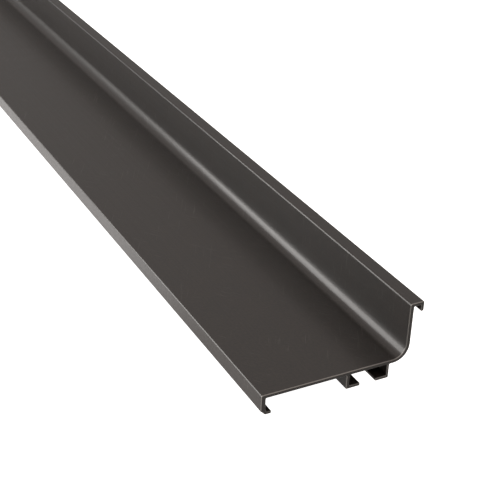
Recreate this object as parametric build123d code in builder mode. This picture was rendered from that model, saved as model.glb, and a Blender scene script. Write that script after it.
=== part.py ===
"""Finger-pull channel for a handleless cabinet, with the two fixings that hold it to the side panels.

The channel is one aluminium extrusion. Its wide web lies level, the bar runs along Y, and its short
upright wall stands on the +X side. On the cabinet it is turned so that -X is up and the web faces the
room. Under the web is a T-slot. Each fixing is a steel angle that a screw, two washers and a nut plate
clamp to that slot, and with the screw slack it slides along the bar.

The origin is at the middle of the bar, on the level that the fixings stand on. +Z is up.
"""

import os

from build123d import *

# Bar
bar_length = 600.0
upright_distance = 57.0  # from the left flange's outer face to the upright's outer face
web_thickness = 1.5

# Left flange, which turns down from the web and ends in a foot
flange_thickness = 1.8
flange_drop = 8.0
foot_reach = 4.0
foot_thickness = 1.1
heel_across = 1.8
heel_up = 1.8

# T-slot under the web: two ribs, each with a foot turned towards the other
slot_from_flange = 41.0
slot_width = 14.7
slot_depth = 4.3
slot_mouth = 6.2
left_rib_thickness = 1.3
right_rib_thickness = 1.0
rib_foot_thickness = 1.2

# Upright wall, with a cove at its root and a hooked edge at its top
upright_thickness = 1.6
upright_height = 20.7
cove_radius = 4.7
hook_reach = 4.0
hook_thickness = 1.35
lip_thickness = 1.25
lip_drop = 3.9

# Edge radii of the extrusion
bold_edge = 0.8
hook_edge = 0.6
soft_edge = 0.3
root_fillet = 0.4
foot_root = 1.0
rib_corner = 0.5
lip_round = 0.6

# Fixing: the steel angle, pressed from sheet
angle_thickness = 1.5
angle_width = 28.0
angle_foot_length = 20.0
angle_leg_height = 16.0
bend_inside = 1.5
angle_corner = 2.5
panel_hole_radius = 2.1
panel_hole_spacing = 16.0
panel_hole_drop = 9.5  # from the top of the angle's foot
adjusting_slot_length = 9.0
adjusting_slot_width = 5.5
screw_from_leg = 11.0

# Fixing: M5 clamp screw, its washers and the nut plate
thread_radius = 2.5
screw_length = 8.0
screw_tip_chamfer = 0.5
head_radius = 4.75
head_height = 3.7
head_dome_radius = 8.0
head_shoulder = 1.2
recess_width = 4.9
recess_floor_width = 2.2
recess_depth = 2.4
recess_wing = 1.1
flat_washer_radius = 5.0
flat_washer_hole = 2.65
flat_washer_thickness = 1.0
flat_washer_edge = 0.15
spring_washer_radius = 4.6
spring_washer_hole = 2.55
spring_washer_thickness = 1.2
spring_washer_gap = 0.8
spring_washer_slant = 0.5
nut_plate_length = 16.0
nut_plate_side_play = 0.35
nut_plate_thickness = 3.0
nut_plate_corner = 1.0
nut_plate_hole = 2.55
nut_plate_countersink = 0.4

# Where the fixings are at rest, and the play that lets them slide
fixing_inset = 90.0  # from the bar's end to the angle's leg
sliding_play = 0.05

# Levels and places that follow from the dimensions above
section_width = upright_distance + hook_reach
left_face = -section_width / 2
right_face = section_width / 2
upright_face = left_face + upright_distance
slot_x = left_face + slot_from_flange
rib_bottom_drop = web_thickness + slot_depth + rib_foot_thickness
web_top = angle_leg_height + sliding_play + rib_bottom_drop
web_bottom = web_top - web_thickness
slot_floor = web_bottom - slot_depth
rib_bottom = slot_floor - rib_foot_thickness
top_level = web_top + upright_height
angle_top = rib_bottom - sliding_play
angle_underside = angle_top - angle_thickness
flat_washer_underside = angle_underside - flat_washer_thickness
head_seat = flat_washer_underside - spring_washer_thickness
nut_plate_underside = slot_floor + sliding_play


def wall(x_low, z_low, x_high, z_high):
    """One straight wall of the section, given by two opposite corners."""
    with Locations(((x_low + x_high) / 2, (z_low + z_high) / 2)):
        Rectangle(x_high - x_low, z_high - z_low)


def corners(sketch, *places):
    """The section's corner nearest to each place."""
    return [sketch.vertices().sort_by_distance((x, z, 0))[0] for x, z in places]


# The extrusion
rib_face_left = slot_x - slot_width / 2
rib_face_right = slot_x + slot_width / 2
rib_back_left = rib_face_left - left_rib_thickness
rib_back_right = rib_face_right + right_rib_thickness
mouth_left = slot_x - slot_mouth / 2
mouth_right = slot_x + slot_mouth / 2
flange_inside = left_face + flange_thickness
flange_bottom = web_top - flange_drop
foot_tip = left_face + foot_reach
foot_top = flange_bottom + foot_thickness
upright_inside = upright_face - upright_thickness
hook_underside = top_level - hook_thickness
lip_inside = right_face - lip_thickness
lip_bottom = top_level - lip_drop

with BuildPart() as channel_profile:
    with BuildSketch(Plane.XZ) as section:
        wall(left_face, web_bottom, upright_face, web_top)
        wall(left_face, flange_bottom, flange_inside, web_top)
        wall(left_face, flange_bottom, foot_tip, foot_top)
        wall(rib_back_left, rib_bottom, rib_face_left, web_top)
        wall(rib_back_left, rib_bottom, mouth_left, slot_floor)
        wall(rib_face_right, rib_bottom, rib_back_right, web_top)
        wall(mouth_right, rib_bottom, rib_back_right, slot_floor)
        wall(upright_inside, web_bottom, upright_face, top_level)
        wall(upright_inside, hook_underside, right_face, top_level)
        wall(lip_inside, lip_bottom, right_face, top_level)

        # the cove and its back, of one thickness round the bend
        fillet(corners(section, (upright_inside, web_top)), cove_radius)
        fillet(corners(section, (upright_face, web_bottom)), cove_radius + web_thickness)

        # the long edges that show
        fillet(corners(section, (left_face, web_top), (upright_inside, top_level)), bold_edge)
        fillet(corners(section, (right_face, top_level)), hook_edge)

        # the flange's heel is cut away at a slant
        heel = corners(section, (left_face, flange_bottom))
        chamfer(heel, heel_up, heel_across)
        fillet(corners(section, (foot_tip, flange_bottom), (foot_tip, foot_top)), soft_edge)

        # the lip ends in a round
        fillet(corners(section, (lip_inside, lip_bottom), (right_face, lip_bottom)), lip_round)

        # ribs: rounded outside corners and mouth edges
        rib_outside = [(rib_back_left, rib_bottom), (rib_back_right, rib_bottom)]
        fillet(corners(section, *rib_outside), rib_corner)
        mouth = [(x, z) for x in (mouth_left, mouth_right) for z in (rib_bottom, slot_floor)]
        fillet(corners(section, *mouth), soft_edge)

        # inside corners, as the die leaves them
        roots = [
            (flange_inside, web_bottom),
            (rib_back_left, web_bottom),
            (rib_face_left, web_bottom),
            (rib_face_right, web_bottom),
            (rib_back_right, web_bottom),
            (rib_face_left, slot_floor),
            (rib_face_right, slot_floor),
            (upright_face, hook_underside),
            (lip_inside, hook_underside),
        ]
        fillet(corners(section, *roots), root_fillet)
        fillet(corners(section, (flange_inside, foot_top)), foot_root)
    extrude(amount=bar_length / 2, both=True)
channel_profile.part.label = "channel_profile"

pieces = [channel_profile]

# The fixings. The right one is the left one turned half round, so each has its own inward direction.
for side, inward in (("left", 1), ("right", -1)):
    leg_y = -inward * (bar_length / 2 - fixing_inset)
    screw_y = leg_y + inward * screw_from_leg

    def level(z, y=screw_y, turn=inward):
        """A level plane on the slot's centre line, with its own Y pointing inward along the bar."""
        return Plane(origin=(slot_x, y, z), x_dir=(turn, 0, 0), z_dir=(0, 0, 1))

    # the angle's outline, seen along X, then its holes
    outline_plane = Plane(origin=(slot_x, leg_y, angle_top), x_dir=(0, inward, 0), z_dir=(inward, 0, 0))
    with BuildPart() as angle:
        with BuildSketch(outline_plane) as outline:
            wall(0, -angle_thickness, angle_foot_length, 0)
            wall(0, -angle_leg_height, angle_thickness, 0)
            fillet(corners(outline, (0, 0)), bend_inside + angle_thickness)
            fillet(corners(outline, (angle_thickness, -angle_thickness)), bend_inside)
        extrude(amount=angle_width / 2, both=True)
        along_y = angle.faces().sort_by(Axis.Y)
        foot_end = along_y[-1] if inward > 0 else along_y[0]
        leg_end = angle.faces().sort_by(Axis.Z)[0]
        free_corners = foot_end.edges().filter_by(Axis.Z) + leg_end.edges().filter_by(Axis.Y)
        fillet(free_corners, angle_corner)
        with BuildSketch(level(angle_top)):
            SlotOverall(adjusting_slot_length, adjusting_slot_width)
        extrude(amount=-angle_thickness, mode=Mode.SUBTRACT)
        leg_face = Plane(
            origin=(slot_x, leg_y, angle_top - panel_hole_drop), x_dir=(1, 0, 0), z_dir=(0, inward, 0)
        )
        with BuildSketch(leg_face):
            with GridLocations(panel_hole_spacing, 0, 2, 1):
                Circle(panel_hole_radius)
        extrude(amount=angle_thickness, mode=Mode.SUBTRACT)
    angle.part.label = side + "_bracket"

    # the nut plate slides in the slot, too wide to turn
    with BuildPart() as nut_plate:
        with BuildSketch(level(nut_plate_underside)) as plate:
            Rectangle(slot_width - 2 * nut_plate_side_play, nut_plate_length)
            chamfer(plate.vertices(), nut_plate_corner)
            Circle(nut_plate_hole, mode=Mode.SUBTRACT)
        extrude(amount=nut_plate_thickness)
        chamfer(nut_plate.edges().filter_by(GeomType.CIRCLE), nut_plate_countersink)
    nut_plate.part.label = side + "_nut_plate"

    with BuildPart() as flat_washer:
        with BuildSketch(level(flat_washer_underside)):
            Circle(flat_washer_radius)
            Circle(flat_washer_hole, mode=Mode.SUBTRACT)
        extrude(amount=flat_washer_thickness)
        rims = flat_washer.edges().filter_by(GeomType.CIRCLE).sort_by(SortBy.RADIUS)[-2:]
        chamfer(rims, flat_washer_edge)
    flat_washer.part.label = side + "_flat_washer"

    # the spring washer is pressed flat, so only its slanted split shows what it is
    split_plane = Plane(origin=(slot_x, screw_y, head_seat), x_dir=(0, inward, 0), z_dir=(inward, 0, 0))
    with BuildPart() as spring_washer:
        with BuildSketch(level(head_seat)):
            Circle(spring_washer_radius)
            Circle(spring_washer_hole, mode=Mode.SUBTRACT)
        extrude(amount=spring_washer_thickness)
        with BuildSketch(split_plane):
            with BuildLine():
                Polyline(
                    (-spring_washer_slant - spring_washer_gap / 2, 0),
                    (-spring_washer_slant + spring_washer_gap / 2, 0),
                    (spring_washer_slant + spring_washer_gap / 2, spring_washer_thickness),
                    (spring_washer_slant - spring_washer_gap / 2, spring_washer_thickness),
                    close=True,
                )
            make_face()
        extrude(amount=spring_washer_radius + spring_washer_gap, mode=Mode.SUBTRACT)
    spring_washer.part.label = side + "_spring_washer"

    # the screw comes up from below: pan head with a cross recess, shank up through the slot's mouth
    screw_axis = Axis((slot_x, screw_y, head_seat), (0, 0, 1))
    dome_drop = head_dome_radius - (head_dome_radius**2 - head_radius**2) ** 0.5
    with BuildPart() as clamp_screw:
        with BuildSketch(Plane(origin=screw_axis.position, x_dir=(1, 0, 0), z_dir=(0, -1, 0))) as head:
            shoulder = (head_radius, dome_drop - head_height)
            with BuildLine():
                Polyline((0, -head_height), (0, 0), (head_radius, 0), shoulder)
                RadiusArc(shoulder, (0, -head_height), head_dome_radius)
            make_face()
            fillet(corners(head, shoulder), head_shoulder)
        revolve(axis=screw_axis)
        with BuildSketch(level(head_seat)):
            Circle(thread_radius)
        extrude(amount=screw_length)
        tip = clamp_screw.edges().filter_by(GeomType.CIRCLE).sort_by(Axis.Z)[-1]
        chamfer(tip, screw_tip_chamfer)
        for across in ((1, 0, 0), (0, 1, 0)):
            wing_normal = (0, -1, 0) if across[0] else (1, 0, 0)
            wing_plane = Plane(origin=screw_axis.position, x_dir=across, z_dir=wing_normal)
            with BuildSketch(wing_plane):
                with BuildLine():
                    Polyline(
                        (-recess_width / 2, -head_height),
                        (recess_width / 2, -head_height),
                        (recess_floor_width / 2, recess_depth - head_height),
                        (-recess_floor_width / 2, recess_depth - head_height),
                        close=True,
                    )
                make_face()
            extrude(amount=recess_wing / 2, both=True, mode=Mode.SUBTRACT)
    clamp_screw.part.label = side + "_clamp_screw"

    pieces += [angle, nut_plate, flat_washer, spring_washer, clamp_screw]

os.makedirs("parts", exist_ok=True)
for piece in pieces:
    export_step(piece.part, "parts/" + piece.part.label + ".step")
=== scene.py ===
# %% [markdown]
# # A finger-pull channel for a handleless cabinet
#
# The object is one long aluminium extrusion and the two small steel fixings that slide in its T-slot.
# An extrusion is a flat outline pushed out along a straight line, so the lesson draws the outline once,
# from the corners and their radii, and lets Geometry Nodes do the pushing. The fixings are pressed and
# turned steel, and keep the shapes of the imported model, with softened edges and a real thread.

# %% Load the fixed frame
from math import cos, pi, radians, sin

import bmesh
import bpy
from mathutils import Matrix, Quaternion, Vector


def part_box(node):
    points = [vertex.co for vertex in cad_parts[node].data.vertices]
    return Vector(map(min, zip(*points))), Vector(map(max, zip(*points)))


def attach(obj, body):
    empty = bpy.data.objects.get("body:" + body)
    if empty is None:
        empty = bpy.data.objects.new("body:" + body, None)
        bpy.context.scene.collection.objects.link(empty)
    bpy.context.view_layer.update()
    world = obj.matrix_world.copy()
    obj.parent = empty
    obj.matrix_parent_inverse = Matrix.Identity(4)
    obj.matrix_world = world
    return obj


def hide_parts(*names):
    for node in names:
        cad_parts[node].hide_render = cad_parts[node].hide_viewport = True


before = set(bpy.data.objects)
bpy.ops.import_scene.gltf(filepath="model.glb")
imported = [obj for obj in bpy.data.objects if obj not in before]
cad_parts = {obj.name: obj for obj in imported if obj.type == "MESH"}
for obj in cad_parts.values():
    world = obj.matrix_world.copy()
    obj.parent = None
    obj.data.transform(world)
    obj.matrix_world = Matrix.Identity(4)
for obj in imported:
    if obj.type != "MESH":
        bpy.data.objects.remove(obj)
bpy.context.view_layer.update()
MM = 0.001

# %% [markdown]
# Everything is placed from the bar's own box: its left face, its near cut end and its two levels. The
# section's other sizes are a maker's drawing of it, and are repeated here in millimetres.

# %% Sizes of the bar
bar_low, bar_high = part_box("channel_profile")
left_face, near_end, foot_level = bar_low
right_face, far_end, top_level = bar_high

upright_height = 20.7 * MM
web_top = top_level - upright_height
web_thickness = 1.5 * MM
upright_face = left_face + 57.0 * MM
upright_thickness = 1.6 * MM
cove_radius = 4.7 * MM

flange_thickness = 1.8 * MM
foot_reach = 4.0 * MM
foot_thickness = 1.1 * MM
heel_across = 1.8 * MM
heel_up = 1.8 * MM

slot_x = left_face + 41.0 * MM
slot_width = 14.7 * MM
slot_depth = 4.3 * MM
slot_mouth = 6.2 * MM
left_rib = 1.3 * MM
right_rib = 1.0 * MM
rib_foot = 1.2 * MM

hook_thickness = 1.35 * MM
lip_thickness = 1.25 * MM
lip_drop = 3.9 * MM
print("web top is", round(web_top / MM, 2), "mm above the floor")

# %% Radii of the section, and the file's bevel on the cut ends
bold_edge = 0.8 * MM
hook_edge = 0.6 * MM
soft_edge = 0.3 * MM
heel_edge = 0.3 * MM
rib_corner = 0.5 * MM
lip_round = 0.6 * MM
root_fillet = 0.4 * MM
flange_root = 1.0 * MM
deburring = 0.25 * MM
print("the file takes", round(deburring / MM, 2), "mm off each cut end's edges")

# %% [markdown]
# ## Camera
#
# A long lens looks down the bar from above its near left corner, so the bar's lines close in only slowly.
# The aim is a point on the web, and the camera leans a little, as a hand-held one does.

# %% Camera
aim = Vector((left_face + 41.66 * MM, near_end + 88.2 * MM, web_top))
distance = 459.1 * MM
azimuth = radians(-28.6)
elevation = radians(28.68)
lean = radians(2.41)
lens = 83.86

back = Vector((sin(azimuth) * cos(elevation), -cos(azimuth) * cos(elevation), sin(elevation)))
camera = bpy.data.objects.new("camera", bpy.data.cameras.new("camera"))
camera.data.lens = lens
camera.rotation_mode = "QUATERNION"
level_turn = (-back).to_track_quat("-Z", "Y")
camera.rotation_quaternion = level_turn @ Quaternion((0, 0, 1), lean)
camera.location = aim + back * distance
bpy.context.scene.collection.objects.link(camera)
bpy.context.scene.camera = camera
print("camera stands", round(camera.location.z, 3), "m above the floor")

# %% [markdown]
# ## Node helpers
#
# A tree is easier to read as a list of steps than as a drawing. One helper makes a step: it adds a node,
# sets its options, and links or fills each input. The others are the steps that come back most often.


# %% Helpers for node trees
def set_input(tree, socket, value):
    """Links the input to another node's socket, or fills it with a value."""
    if isinstance(value, bpy.types.NodeSocket):
        tree.links.new(value, socket)
    else:
        socket.default_value = value


def step(tree, kind, options=None, **inputs):
    """A node of that kind. An input goes by its name, with _ for a space, or by i and its number."""
    node = tree.nodes.new(kind)
    for option, value in (options or {}).items():
        setattr(node, option, value)
    for name, value in inputs.items():
        numbered = name[0] == "i" and name[1:].isdigit()
        key = int(name[1:]) if numbered else name.replace("_", " ")
        set_input(tree, node.inputs[key], value)
    return node


def calculate(tree, operation, *values, kind="ShaderNodeMath"):
    """The result of a Math node on sockets or numbers."""
    inputs = {f"i{index}": value for index, value in enumerate(values)}
    return step(tree, kind, {"operation": operation}, **inputs).outputs[0]


def calculate_vector(tree, operation, *values):
    """The result of a Vector Math node on sockets or numbers."""
    return calculate(tree, operation, *values, kind="ShaderNodeVectorMath")


def ramp(tree, value, low, high, to_low=0.0, to_high=1.0):
    """The value, carried from low..high to to_low..to_high and held there."""
    ends = {"From_Min": low, "From_Max": high, "To_Min": to_low, "To_Max": to_high}
    return step(tree, "ShaderNodeMapRange", Value=value, **ends).outputs[0]


def new_material(name):
    """A material, with its tree, its Principled shader, and the place on the piece as a socket."""
    material = bpy.data.materials.new(name)
    material.use_nodes = True
    tree = material.node_tree
    place = tree.nodes.new("ShaderNodeTexCoord").outputs["Object"]
    return material, tree, tree.nodes["Principled BSDF"], place


print("node helpers are ready")

# %% [markdown]
# ## Light
#
# Dark satin metal shows mostly what it reflects. A white room, bright and warm overhead and dimmer towards
# the horizon, gives the web its even grey. To the camera the room is plain white, so only the metal shows
# that it is shaded.

# %% Room
horizon_height, horizon_colour = 0.2, (0.36, 0.355, 0.35)
ceiling_height, ceiling_colour = 0.75, (1, 0.905, 0.85)

scene = bpy.context.scene
scene.view_settings.view_transform = "Standard"
world = bpy.data.worlds.new("white_room")
world.use_nodes = True
scene.world = world
sky = world.node_tree
direction = sky.nodes.new("ShaderNodeTexCoord").outputs["Generated"]
height = step(sky, "ShaderNodeSeparateXYZ", Vector=direction).outputs["Z"]
fade = step(sky, "ShaderNodeValToRGB", Fac=height)
fade.color_ramp.interpolation = "EASE"
low_stop, high_stop = fade.color_ramp.elements
low_stop.position, low_stop.color = horizon_height, (*horizon_colour, 1)
high_stop.position, high_stop.color = ceiling_height, (*ceiling_colour, 1)

room = sky.nodes["Background"]
sky.links.new(fade.outputs["Color"], room.inputs["Color"])
room.inputs["Strength"].default_value = 0.92
backdrop = step(sky, "ShaderNodeBackground", Color=(1, 1, 1, 1))
to_camera = sky.nodes.new("ShaderNodeLightPath").outputs["Is Camera Ray"]
seen_room = step(sky, "ShaderNodeMixShader", i0=to_camera, i1=room.outputs[0], i2=backdrop.outputs[0])
sky.links.new(seen_room.outputs[0], sky.nodes["World Output"].inputs["Surface"])
print("room:", world.name, "with", len(sky.nodes), "nodes")

# %% [markdown]
# The left flange mirrors the floor beside it. The floor glows, like paper lit from below, and the glow is
# weak near the bar's cut end and strong beyond it, so the flange brightens along its length. To the camera
# the whole floor glows alike, and no shadow shows.

# %% Floor
floor_half = 30.0
near_glow, far_glow, seen_glow = 0.13, 0.8, 1.0
glow_start = near_end + 70 * MM
glow_end = near_end + 150 * MM

floor_mesh = bpy.data.meshes.new("floor")
turns = ((-1, -1), (1, -1), (1, 1), (-1, 1))
floor_mesh.from_pydata([(x * floor_half, y * floor_half, 0) for x, y in turns], [], [(0, 1, 2, 3)])
floor = bpy.data.objects.new("floor", floor_mesh)
scene.collection.objects.link(floor)

floor_finish, tree, paper, place = new_material("white_paper")
paper.inputs["Base Color"].default_value = (0.9, 0.9, 0.9, 1)
paper.inputs["Roughness"].default_value = 0.9
paper.inputs["Emission Color"].default_value = (1, 1, 1, 1)
along = step(tree, "ShaderNodeSeparateXYZ", Vector=place).outputs["Y"]
glow = ramp(tree, along, glow_start, glow_end, near_glow, far_glow)
to_camera = tree.nodes.new("ShaderNodeLightPath").outputs["Is Camera Ray"]
strength = step(tree, "ShaderNodeMix", {"data_type": "FLOAT"}, i0=to_camera, i2=glow, i3=seen_glow)
tree.links.new(strength.outputs[0], paper.inputs["Emission Strength"])
floor_mesh.materials.append(floor_finish)
print("floor:", 2 * floor_half, "m wide")

# %% [markdown]
# One long soft box stands behind the bar and to its left. The cove is a quarter of a tube, so somewhere in
# its curve it always mirrors the box, and that draws the bright line down the bar.

# %% Soft box
lit_spot = Vector((0.02, -0.2, 0.03))
lamp = bpy.data.lights.new("cove_light", "AREA")
lamp.shape = "RECTANGLE"
lamp.size, lamp.size_y = 0.6, 1.0
lamp.energy = 16.5
lamp.color = (1, 0.97, 0.94)
cove_light = bpy.data.objects.new("cove_light", lamp)
cove_light.location = (-1.04, 0.9, 0.42)
cove_light.rotation_mode = "QUATERNION"
cove_light.rotation_quaternion = (lit_spot - cove_light.location).to_track_quat("-Z", "Y")
scene.collection.objects.link(cove_light)
print("soft box:", round((lit_spot - cove_light.location).length, 2), "m from the bar")

# %% [markdown]
# ## Finishes
#
# Three effects come back in every metal here, so each is a node group with its own sizes: the fine lines
# that a die or a rolling mill draws along the metal, a speckle of tiny pits, and scuffs from handling. A
# group gives a mask from 0 to 1, and the material decides what the mask does to colour, gloss and height.


# %% Helpers for shader groups
def shader_group(name, sizes, *results):
    """An empty shader group that reads a Vector and the named sizes, and puts out the named masks."""
    group = bpy.data.node_groups.new(name, "ShaderNodeTree")
    group.interface.new_socket("Vector", in_out="INPUT", socket_type="NodeSocketVector")
    for label, value in sizes.items():
        size = group.interface.new_socket(label, in_out="INPUT", socket_type="NodeSocketFloat")
        size.default_value = value
    for label in results:
        group.interface.new_socket(label, in_out="OUTPUT", socket_type="NodeSocketFloat")
    return group, group.nodes.new("NodeGroupInput").outputs, group.nodes.new("NodeGroupOutput").inputs


def stretched(group, vector, across, along, upright=False):
    """The place, divided by a length along Y and another across it. Upright marks are as long in Z."""
    fine = calculate(group, "DIVIDE", 1.0, across)
    long = calculate(group, "DIVIDE", 1.0, along)
    scale = step(group, "ShaderNodeCombineXYZ", X=fine, Y=long, Z=long if upright else fine)
    return calculate_vector(group, "MULTIPLY", vector, scale.outputs[0])


def noise(group, vector, detail, scale=1.0, roughness=0.5):
    """A soft noise, about 0.5 on average."""
    sizes = {"Scale": scale, "Detail": detail, "Roughness": roughness}
    return step(group, "ShaderNodeTexNoise", Vector=vector, **sizes).outputs[0]


print("shader group helpers are ready")

# %% Shader groups: grain and speckle
grain_group, given, put = shader_group("drawn_grain", {"Across": 0.0008, "Along": 0.2}, "Grain")
fibres = stretched(grain_group, given["Vector"], given["Across"], given["Along"])
lines = noise(grain_group, fibres, detail=3.0, roughness=0.6)
grain_group.links.new(ramp(grain_group, lines, 0.3, 0.7), put["Grain"])

speckle_group, given, put = shader_group("fine_speckle", {"Size": 0.0006}, "Speckle")
grid = stretched(speckle_group, given["Vector"], given["Size"], given["Size"])
dots = noise(speckle_group, grid, detail=2.0, roughness=0.7)
speckle_group.links.new(ramp(speckle_group, dots, 0.22, 0.68), put["Speckle"])
print("shader groups:", grain_group.name, speckle_group.name)

# %% [markdown]
# A scuff is a thin streak, and scuffs come in patches, where something rubbed. So the mask is the product
# of two noises: one stretched into streaks, of which only the highest show, and one of broad patches.

# %% Shader group: scuffs
scuff_sizes = {"Width": 0.0004, "Length": 0.02, "Turn": 0.3}
scuff_group, given, put = shader_group("handling_scuffs", scuff_sizes, "Scuffs")
z_turn = {"rotation_type": "Z_AXIS"}
turned = step(scuff_group, "ShaderNodeVectorRotate", z_turn, Vector=given["Vector"], Angle=given["Turn"])
streaks = stretched(scuff_group, turned.outputs[0], given["Width"], given["Length"], upright=True)
areas = stretched(scuff_group, given["Vector"], given["Length"], given["Length"])
marks = ramp(scuff_group, noise(scuff_group, streaks, detail=1.0), 0.66, 0.74)
patches = ramp(scuff_group, noise(scuff_group, areas, detail=1.0, scale=0.6), 0.52, 0.6)
scuff_group.links.new(calculate(scuff_group, "MULTIPLY", marks, patches), put["Scuffs"])
print("shader group:", scuff_group.name)

# %% [markdown]
# The bar is cut to length with a saw, and its edges are then filed. The cut face is as dark as the rest but
# shows the blade's slanting, slightly wavy lines. The bevel round it is coloured bright: partly bare filed
# metal, partly a painted highlight. So the group tells three places apart, the cut face, the bevel and the
# rest, by how far a point lies from the end.

# %% Shader group: the saw-cut ends
saw_slant = 0.35
waver_scale, waver_reach = 180.0, 1.2 * MM
saw_sizes = {"End": 0.3, "Bevel": 0.0003, "Pitch": 0.0004}
saw_group, given, put = shader_group("sawn_end", saw_sizes, "Sawn", "Filed", "Marks")
place = step(saw_group, "ShaderNodeSeparateXYZ", Vector=given["Vector"]).outputs
from_middle = calculate(saw_group, "ABSOLUTE", place["Y"])
inset = calculate(saw_group, "SUBTRACT", given["End"], from_middle)
share = calculate(saw_group, "DIVIDE", inset, given["Bevel"])
saw_group.links.new(ramp(saw_group, share, 0.1, 0.02), put["Sawn"])
saw_group.links.new(ramp(saw_group, share, 1.2, 1.0), put["Filed"])

waver = noise(saw_group, given["Vector"], detail=1.0, scale=waver_scale)
slope = calculate(saw_group, "MULTIPLY_ADD", place["X"], saw_slant, place["Z"])
bent = calculate(saw_group, "MULTIPLY_ADD", waver, waver_reach, slope)
teeth = calculate(saw_group, "PINGPONG", bent, given["Pitch"])
saw_group.links.new(calculate(saw_group, "DIVIDE", teeth, given["Pitch"]), put["Marks"])
print("shader group:", saw_group.name)

# %% [markdown]
# A material mixes these masks in two ways: it blends one colour into another, and it adds masks up, each
# with a weight, for roughness and height.


# %% Helpers for materials
def blend_colours(tree, factor, first, second):
    """A colour between two others, each a socket or three numbers."""
    mix = step(tree, "ShaderNodeMix", {"data_type": "RGBA"}, i0=factor)
    for socket, colour in zip(mix.inputs[6:8], (first, second)):
        set_input(tree, socket, colour if isinstance(colour, bpy.types.NodeSocket) else (*colour, 1))
    return mix.outputs[2]


def blend_values(tree, factor, first, second):
    """A value between two others."""
    return step(tree, "ShaderNodeMix", {"data_type": "FLOAT"}, i0=factor, i2=first, i3=second).outputs[0]


def weighed(tree, *terms, base=0.0):
    """base plus each value times its weight."""
    total = base
    for value, weight in terms:
        total = calculate(tree, "MULTIPLY_ADD", value, weight, total)
    return total


def masks(tree, group, vector, **sizes):
    """The masks that a shader group puts out, with these sizes."""
    return step(tree, "ShaderNodeGroup", {"node_tree": group}, Vector=vector, **sizes).outputs


print("material helpers are ready")

# %% [markdown]
# The bar is anodised a very dark, warm grey: a hard oxide skin, dyed and sealed, that hides the silver
# colour of the metal but not its texture. So the shader is not metallic. Its colour is nearly black, and
# two layers of gloss do the rest: a broad sheen from the etched metal, and a tighter one from the sealed
# skin. The die's lines run along the bar, and the etch before the dye leaves a speckle.

# %% Colours of the bar
dye_dark, dye_light = (0.0010, 0.0008, 0.0006), (0.0190, 0.0146, 0.0121)
rubbed_dye = (0.06, 0.054, 0.05)
# the filed bevel's bright colour is partly bare metal and partly a painted highlight
filed_metal_and_highlight = (0.24, 0.23, 0.22)
sawn_dark, sawn_light = (0.024, 0.0225, 0.021), (0.042, 0.04, 0.0375)
print("dye, dark to light:", dye_dark, dye_light)


# %% Finish of the bar
def anodised():
    """Anodised aluminium, with its die lines, speckle, scuffs and saw-cut ends."""
    material, tree, shader, place = new_material("bronze_black_anodising")
    shader.inputs["Specular IOR Level"].default_value = 0.3
    shader.inputs["Coat Weight"].default_value = 0.4
    shader.inputs["Coat Roughness"].default_value = 0.22
    grain = masks(tree, grain_group, place, Across=0.7 * MM, Along=250 * MM)[0]
    speckle = masks(tree, speckle_group, place, Size=1.0 * MM)[0]
    cloud = masks(tree, speckle_group, place, Size=12 * MM)[0]
    long_scuffs = masks(tree, scuff_group, place, Width=0.5 * MM, Length=16 * MM, Turn=0.5)[0]
    short_scuffs = masks(tree, scuff_group, place, Width=0.4 * MM, Length=9 * MM, Turn=-0.7)[0]
    scuffs = calculate(tree, "MAXIMUM", long_scuffs, short_scuffs)
    end = masks(tree, saw_group, place, End=far_end, Bevel=deburring, Pitch=0.14 * MM)

    dye = blend_colours(tree, weighed(tree, (speckle, 0.75), (cloud, 0.25)), dye_dark, dye_light)
    rubbed = blend_colours(tree, weighed(tree, (scuffs, 0.3)), dye, rubbed_dye)
    # the bevel takes the bright colour, partly bare metal and partly a painted highlight
    filed = blend_colours(tree, end["Filed"], rubbed, filed_metal_and_highlight)
    sawn = blend_colours(tree, end["Marks"], sawn_dark, sawn_light)
    colour = blend_colours(tree, end["Sawn"], filed, sawn)
    tree.links.new(colour, shader.inputs["Base Color"])
    tree.links.new(end["Filed"], shader.inputs["Metallic"])

    satin = weighed(tree, (grain, 0.04), (speckle, 0.08), (cloud, 0.04), (scuffs, -0.02), base=0.37)
    roughness = blend_values(tree, end["Filed"], satin, 0.5)
    tree.links.new(roughness, shader.inputs["Roughness"])

    skin = weighed(tree, (grain, 0.35), (speckle, 0.65), (scuffs, -0.1))
    relief = blend_values(tree, end["Sawn"], skin, end["Marks"])
    bump = step(tree, "ShaderNodeBump", Strength=0.4, Distance=0.03 * MM, Height=relief)
    tree.links.new(bump.outputs[0], shader.inputs["Normal"])
    return material


bar_finish = anodised()
print("finish of the bar:", bar_finish.name, "with", len(bar_finish.node_tree.nodes), "nodes")

# %% [markdown]
# ## Geometry Nodes in a script
#
# Every tree here has named inputs for its sizes, and ends in Realize Instances and Set Material. It runs
# once, on a curve or on points, and its result is kept as a plain mesh.


# %% Helpers for Geometry Nodes
def geometry_tree(name, **sizes):
    """An empty Geometry Nodes tree with a named input for each size, and a material input."""
    tree = bpy.data.node_groups.new(name, "GeometryNodeTree")
    tree.interface.new_socket("Geometry", in_out="INPUT", socket_type="NodeSocketGeometry")
    for label, value in sizes.items():
        kind = "NodeSocketInt" if isinstance(value, int) else "NodeSocketFloat"
        size = tree.interface.new_socket(label, in_out="INPUT", socket_type=kind)
        size.default_value = value
    tree.interface.new_socket("Material", in_out="INPUT", socket_type="NodeSocketMaterial")
    tree.interface.new_socket("Geometry", in_out="OUTPUT", socket_type="NodeSocketGeometry")
    return tree, tree.nodes.new("NodeGroupInput").outputs


def close_tree(tree, geometry, given):
    """The last steps of every tree: shaded smooth, instances made real, material set."""
    smooth = step(tree, "GeometryNodeSetShadeSmooth", Geometry=geometry, Shade_Smooth=True).outputs[0]
    real = step(tree, "GeometryNodeRealizeInstances", Geometry=smooth).outputs[0]
    painted = step(tree, "GeometryNodeSetMaterial", Geometry=real, Material=given["Material"]).outputs[0]
    tree.links.new(painted, tree.nodes.new("NodeGroupOutput").inputs[0])


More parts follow.
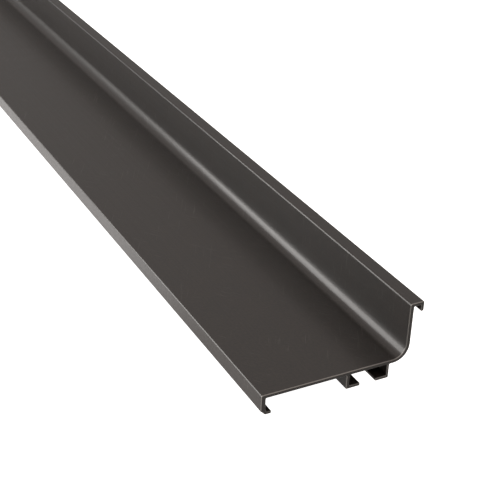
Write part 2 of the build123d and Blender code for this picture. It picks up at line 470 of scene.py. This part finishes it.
def grow(name, base, tree, material, **sizes):
    """Runs a tree on a curve or mesh and returns the result as a plain mesh object."""
    holder = bpy.data.objects.new(name + "_base", base)
    scene.collection.objects.link(holder)
    modifier = holder.modifiers.new("shape", "NODES")
    modifier.node_group = tree
    sockets = {s.name: s.identifier for s in tree.interface.items_tree if s.in_out == "INPUT"}
    modifier[sockets["Material"]] = material
    for label, value in sizes.items():
        modifier[sockets[label]] = value
    evaluated = holder.evaluated_get(bpy.context.evaluated_depsgraph_get())
    mesh = bpy.data.meshes.new_from_object(evaluated)
    mesh.name = name
    bpy.data.objects.remove(holder)
    piece = bpy.data.objects.new(name, mesh)
    scene.collection.objects.link(piece)
    print(name, "has", len(mesh.polygons), "faces")
    return piece


print("Geometry Nodes helpers are ready")

# %% [markdown]
# ## The bar
#
# The die gives the section a radius at every corner. So the outline is a closed line through sharp corners,
# and each corner carries its own radius, in the place where a curve point keeps its radius. The Fillet
# Curve node then rounds them all.

# %% Lines of the section
web_bottom = web_top - web_thickness
flange_inside = left_face + flange_thickness
foot_tip = left_face + foot_reach
foot_top = foot_level + foot_thickness
slot_left, slot_right = slot_x - slot_width / 2, slot_x + slot_width / 2
mouth_left, mouth_right = slot_x - slot_mouth / 2, slot_x + slot_mouth / 2
slot_floor = web_bottom - slot_depth
rib_bottom = slot_floor - rib_foot
upright_inside = upright_face - upright_thickness
hook_underside = top_level - hook_thickness
lip_inside = right_face - lip_thickness
lip_bottom = top_level - lip_drop
print("the slot runs from", round(slot_left / MM, 2), "to", round(slot_right / MM, 2), "mm")

# %% The section's corners: across, up, radius
section = [
    (left_face, web_top, bold_edge),
    (left_face, foot_level + heel_up, heel_edge),
    (left_face + heel_across, foot_level, heel_edge),
    (foot_tip, foot_level, soft_edge),
    (foot_tip, foot_top, soft_edge),
    (flange_inside, foot_top, flange_root),
    (flange_inside, web_bottom, root_fillet),
    (slot_left - left_rib, web_bottom, root_fillet),
    (slot_left - left_rib, rib_bottom, rib_corner),
    (mouth_left, rib_bottom, soft_edge),
    (mouth_left, slot_floor, soft_edge),
    (slot_left, slot_floor, root_fillet),
    (slot_left, web_bottom, root_fillet),
    (slot_right, web_bottom, root_fillet),
    (slot_right, slot_floor, root_fillet),
    (mouth_right, slot_floor, soft_edge),
    (mouth_right, rib_bottom, soft_edge),
    (slot_right + right_rib, rib_bottom, rib_corner),
    (slot_right + right_rib, web_bottom, root_fillet),
    (upright_face, web_bottom, cove_radius + web_thickness),
    (upright_face, hook_underside, root_fillet),
    (lip_inside, hook_underside, root_fillet),
    (lip_inside, lip_bottom, lip_round),
    (right_face, lip_bottom, lip_round),
    (right_face, top_level, hook_edge),
    (upright_inside, top_level, bold_edge),
    (upright_inside, web_top, cove_radius),
]
outline = bpy.data.curves.new("section", "CURVE")
outline.dimensions = "3D"
line = outline.splines.new("POLY")
line.points.add(len(section) - 1)
for point, (x, z, radius) in zip(line.points, section):
    point.co = (x, z, 0, 1)
    point.radius = radius
line.use_cyclic_u = True
print("the section has", len(section), "corners")

# %% [markdown]
# The tree rounds the corners and pushes the outline along a straight line of four points. The two outer
# points close the bar, and there the outline is drawn in by the width of the deburring, so the saw-cut
# end gets the fine bevel that a file leaves. It is drawn in along its own outward direction, which is its
# tangent turned a quarter.


# %% Tree: push a section along a bar
def bar_tree():
    """A bar along Y from a closed section, with rounded corners and filed ends."""
    tree, given = geometry_tree("bar_from_section", Length=1.0, Deburring=0.0002, Corner_steps=8)
    corner_radius = tree.nodes.new("GeometryNodeInputRadius").outputs[0]
    rounded = step(
        tree,
        "GeometryNodeFilletCurve",
        {"mode": "POLY"},
        Curve=given["Geometry"],
        Count=given["Corner_steps"],
        Radius=corner_radius,
    )
    tangent = tree.nodes.new("GeometryNodeInputTangent").outputs[0]
    kept = tree.nodes.new("GeometryNodeCaptureAttribute")
    kept.capture_items.new("VECTOR", "Outward")
    tree.links.new(rounded.outputs[0], kept.inputs["Geometry"])
    tree.links.new(calculate_vector(tree, "CROSS_PRODUCT", tangent, (0, 0, 1)), kept.inputs["Outward"])

    half = calculate(tree, "MULTIPLY", given["Length"], 0.5)
    inner = calculate(tree, "SUBTRACT", half, given["Deburring"])
    index = tree.nodes.new("GeometryNodeInputIndex").outputs[0]
    in_front = calculate(tree, "GREATER_THAN", index, 1.5)
    is_inner = calculate(tree, "COMPARE", index, 1.5, 0.6)
    sign = calculate(tree, "MULTIPLY_ADD", in_front, 2.0, -1.0)
    reach = step(tree, "GeometryNodeSwitch", {"input_type": "FLOAT"}, i0=is_inner, i1=half, i2=inner)
    along = calculate(tree, "MULTIPLY", sign, reach.outputs[0])
    stop = step(tree, "ShaderNodeCombineXYZ", Z=along).outputs[0]
    stops = step(tree, "GeometryNodeMeshLine", {"mode": "OFFSET"}, Count=4).outputs[0]
    spaced = step(tree, "GeometryNodeSetPosition", Geometry=stops, Position=stop).outputs[0]
    path = step(tree, "GeometryNodeMeshToCurve", Mesh=spaced).outputs[0]
    pushed = step(
        tree,
        "GeometryNodeCurveToMesh",
        Curve=path,
        Profile_Curve=kept.outputs["Geometry"],
        Fill_Caps=True,
    )

    position = tree.nodes.new("GeometryNodeInputPosition").outputs[0]
    height = step(tree, "ShaderNodeSeparateXYZ", Vector=position).outputs["Z"]
    end_from = calculate(tree, "MULTIPLY_ADD", given["Deburring"], -0.5, half)
    at_end = calculate(tree, "GREATER_THAN", calculate(tree, "ABSOLUTE", height), end_from)
    drawn_in = calculate(tree, "MULTIPLY", given["Deburring"], -1.0)
    inward = step(
        tree,
        "ShaderNodeVectorMath",
        {"operation": "SCALE"},
        i0=kept.outputs["Outward"],
        Scale=drawn_in,
    )
    filed = step(
        tree,
        "GeometryNodeSetPosition",
        Geometry=pushed.outputs[0],
        Selection=at_end,
        Offset=inward.outputs[0],
    )
    laid = step(tree, "GeometryNodeTransform", Geometry=filed.outputs[0], Rotation=(pi / 2, 0, 0))
    close_tree(tree, laid.outputs[0], given)
    return tree


push_section = bar_tree()
print(push_section.name, "has", len(push_section.nodes), "nodes")

# %% The bar
length = far_end - near_end
bar = grow("channel_bar", outline, push_section, bar_finish, Length=length, Deburring=deburring)
check = bmesh.new()
check.from_mesh(bar.data)
print("volume", round(check.calc_volume(signed=True) / MM**3), "mm3")
print("open edges", sum(edge.is_boundary for edge in check.edges))
check.free()
weighted = bar.modifiers.new("flat_faces_stay_flat", "WEIGHTED_NORMAL")
weighted.keep_sharp = True
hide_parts("channel_profile")
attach(bar, "profile")

# %% [markdown]
# ## Finish of the steel parts
#
# The fixings are zinc-plated. Zinc is bright, slightly blue metal, and the plating follows the grain of the
# rolled sheet below it. The passivation over it gives a faint yellow that comes and goes, so a cloud and
# the grain shift the colour. The sheet parts and the turned parts differ only in their numbers.

# %% Colours of zinc
dulled_zinc = (0.3, 0.3, 0.29)
sheet_blue, sheet_yellow = (0.42, 0.43, 0.445), (0.52, 0.5, 0.445)
plate_blue, plate_yellow = (0.4, 0.41, 0.425), (0.49, 0.475, 0.425)
turned_blue, turned_yellow = (0.47, 0.48, 0.5), (0.57, 0.545, 0.48)
print("zinc, dulled:", dulled_zinc)


# %% Zinc plating
def zinc(name, blue, yellow, across, along, roughness, relief, turn=0.0):
    """Zinc plating over a grain of that width and length, which is turned about Z."""
    material, tree, shader, place = new_material(name)
    shader.inputs["Metallic"].default_value = 1.0
    rolled = step(tree, "ShaderNodeVectorRotate", {"rotation_type": "Z_AXIS"}, Vector=place, Angle=turn)
    grain = masks(tree, grain_group, rolled.outputs[0], Across=across, Along=along)[0]
    speckle = masks(tree, speckle_group, place, Size=0.3 * MM)[0]
    cloud = masks(tree, speckle_group, place, Size=6 * MM)[0]
    scuffs = masks(tree, scuff_group, place, Width=0.3 * MM, Length=8 * MM, Turn=0.9)[0]
    tint = blend_colours(tree, weighed(tree, (cloud, 0.7), (grain, 0.3)), blue, yellow)
    dulled = blend_colours(tree, weighed(tree, (speckle, 0.25)), tint, dulled_zinc)
    tree.links.new(dulled, shader.inputs["Base Color"])
    rough = weighed(tree, (speckle, 0.08), (cloud, 0.08), (grain, 0.05), (scuffs, 0.12), base=roughness)
    tree.links.new(rough, shader.inputs["Roughness"])
    height = weighed(tree, (grain, 0.5), (speckle, 0.5), (scuffs, -0.6))
    bump = step(tree, "ShaderNodeBump", Strength=0.6, Distance=relief, Height=height)
    tree.links.new(bump.outputs[0], shader.inputs["Normal"])
    return material


sheet_zinc = zinc(
    "zinc_on_rolled_sheet", sheet_blue, sheet_yellow, 0.4 * MM, 30 * MM, 0.28, 0.02 * MM, pi / 2
)
plate_zinc = zinc("zinc_on_nut_plate", plate_blue, plate_yellow, 0.5 * MM, 20 * MM, 0.33, 0.04 * MM)
turned_zinc = zinc("zinc_on_fasteners", turned_blue, turned_yellow, 0.6 * MM, 6 * MM, 0.22, 0.02 * MM)
print("steel finishes:", sheet_zinc.name, plate_zinc.name, turned_zinc.name)

# %% [markdown]
# ## The pressed parts
#
# The brackets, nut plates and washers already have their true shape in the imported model, but a model's edges
# are perfectly sharp and no real edge is. So each becomes a merged copy with a small Bevel on every edge that
# turns sharply, and Weighted Normal keeps the flat faces flat.

# %% Widths of the broken edges
merge_distance = 0.002 * MM
flat_angle = radians(0.5)
sharp_angle = radians(35)
bracket_edge = 0.12 * MM
nut_plate_edge = 0.15 * MM
flat_washer_edge = 0.06 * MM
spring_washer_edge = 0.03 * MM
print("edges that turn more than", round(sharp_angle / radians(1)), "degrees are broken")


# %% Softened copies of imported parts
def softened(node, width, finish, body):
    """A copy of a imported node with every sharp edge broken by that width."""
    mesh = bpy.data.meshes.new(node)
    work = bmesh.new()
    work.from_mesh(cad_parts[node].data)
    bmesh.ops.remove_doubles(work, verts=work.verts, dist=merge_distance)
    bmesh.ops.dissolve_limit(work, angle_limit=flat_angle, verts=work.verts, edges=work.edges)
    work.to_mesh(mesh)
    work.free()
    for face in mesh.polygons:
        face.use_smooth = True
    mesh.materials.clear()
    mesh.materials.append(finish)
    piece = bpy.data.objects.new(node + "_finished", mesh)
    scene.collection.objects.link(piece)
    bevel = piece.modifiers.new("broken_edges", "BEVEL")
    bevel.width = width
    bevel.segments = 2
    bevel.limit_method = "ANGLE"
    bevel.angle_limit = sharp_angle
    flat = piece.modifiers.new("flat_faces_stay_flat", "WEIGHTED_NORMAL")
    flat.keep_sharp = True
    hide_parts(node)
    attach(piece, body)
    print(piece.name, "starts from", len(mesh.polygons), "faces")


for side in ("left", "right"):
    body = side + "_fixing"
    softened(side + "_bracket", bracket_edge, sheet_zinc, body)
    softened(side + "_nut_plate", nut_plate_edge, plate_zinc, body)
    softened(side + "_flat_washer", flat_washer_edge, turned_zinc, body)
    softened(side + "_spring_washer", spring_washer_edge, turned_zinc, body)

# %% [markdown]
# ## The clamp screws
#
# A screw thread is a cylinder whose radius rises and falls along a helix. So the tree takes a cylinder with
# many rings, and moves each point out or in: how far depends on its height in pitches less its turn round
# the axis. A cone limits the radius at the tip, which leaves the chamfer that a nut starts on.

# %% Sizes of the screw
thread_radius = 2.5 * MM
thread_pitch = 0.8 * MM
thread_depth = 0.45 * MM
tip_chamfer = 0.5 * MM
head_above_seat = 0.1 * MM
sunk = 0.4 * MM
crease_angle = radians(40)
screw_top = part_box("left_clamp_screw")[1][2]
head_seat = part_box("left_spring_washer")[0][2]
shank_length = screw_top - head_seat + sunk
print("thread turns:", round(shank_length / thread_pitch, 1))


# %% Tree: a threaded shank on each point
def thread_tree():
    """A threaded shank centred on each point, with its tip upwards."""
    tree, given = geometry_tree(
        "threaded_shank",
        Radius=0.0025,
        Depth=0.0004,
        Pitch=0.0008,
        Length=0.008,
        Chamfer=0.0005,
        Sides=28,
        Rings=90,
    )
    rod = step(
        tree,
        "GeometryNodeMeshCylinder",
        {"fill_type": "NGON"},
        Vertices=given["Sides"],
        Side_Segments=given["Rings"],
        Radius=given["Radius"],
        Depth=given["Length"],
    )
    position = tree.nodes.new("GeometryNodeInputPosition").outputs[0]
    x, y, z = step(tree, "ShaderNodeSeparateXYZ", Vector=position).outputs
    height = calculate(tree, "ADD", z, calculate(tree, "MULTIPLY", given["Length"], 0.5))
    turn = calculate(tree, "DIVIDE", calculate(tree, "ARCTAN2", y, x), 2 * pi)
    phase = calculate(tree, "SUBTRACT", calculate(tree, "DIVIDE", height, given["Pitch"]), turn)
    crest = calculate(tree, "MULTIPLY", calculate(tree, "PINGPONG", phase, 0.5), 2.0)
    valley = calculate(tree, "MULTIPLY", calculate(tree, "SUBTRACT", 1.0, crest), given["Depth"])
    to_tip = calculate(tree, "SUBTRACT", given["Length"], height)
    cone = calculate(tree, "ADD", calculate(tree, "SUBTRACT", given["Radius"], given["Chamfer"]), to_tip)
    reach = calculate(tree, "MINIMUM", calculate(tree, "SUBTRACT", given["Radius"], valley), cone)
    share = calculate(tree, "DIVIDE", reach, given["Radius"])
    scale = step(tree, "ShaderNodeCombineXYZ", X=share, Y=share, Z=1.0).outputs[0]
    moved = calculate_vector(tree, "MULTIPLY", position, scale)
    cut = step(tree, "GeometryNodeSetPosition", Geometry=rod.outputs["Mesh"], Position=moved).outputs[0]
    spread = step(tree, "GeometryNodeInstanceOnPoints", Points=given["Geometry"], Instance=cut)
    close_tree(tree, spread.outputs[0], given)
    return tree


threads = thread_tree()
print(threads.name, "has", len(threads.nodes), "nodes")

# %% [markdown]
# The head, with its cross recess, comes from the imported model: the plain shank above the seat is cut away,
# and the cut is closed. The threaded shank starts a little inside the head, so the two leave no gap.


# %% Screws
def screw_head(node, cut_level):
    """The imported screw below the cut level, merged and closed by a flat face."""
    work = bmesh.new()
    work.from_mesh(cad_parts[node].data)
    bmesh.ops.remove_doubles(work, verts=work.verts, dist=merge_distance)
    every = work.verts[:] + work.edges[:] + work.faces[:]
    cut = bmesh.ops.bisect_plane(
        work, geom=every, plane_co=(0, 0, cut_level), plane_no=(0, 0, 1), clear_outer=True
    )
    rim = [part for part in cut["geom_cut"] if isinstance(part, bmesh.types.BMEdge)]
    bmesh.ops.edgeloop_fill(work, edges=rim)
    bmesh.ops.recalc_face_normals(work, faces=work.faces)
    bmesh.ops.dissolve_limit(work, angle_limit=flat_angle, verts=work.verts, edges=work.edges)
    return work


for side in ("left", "right"):
    node = side + "_clamp_screw"
    low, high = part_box(node)
    axis_x, axis_y = (low[0] + high[0]) / 2, (low[1] + high[1]) / 2
    middle = bpy.data.meshes.new(side + "_screw_middle")
    middle.from_pydata([(axis_x, axis_y, head_seat - sunk + shank_length / 2)], [], [])
    screw = grow(
        node + "_finished",
        middle,
        threads,
        turned_zinc,
        Radius=thread_radius,
        Depth=thread_depth,
        Pitch=thread_pitch,
        Length=shank_length,
        Chamfer=tip_chamfer,
    )
    work = screw_head(node, head_seat + head_above_seat)
    work.from_mesh(screw.data)
    work.to_mesh(screw.data)
    work.free()
    screw.data.materials.clear()
    screw.data.materials.append(turned_zinc)
    for face in screw.data.polygons:
        face.material_index = 0
        face.use_smooth = True
    screw.data.set_sharp_from_angle(angle=crease_angle)
    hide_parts(node)
    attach(screw, side + "_fixing")
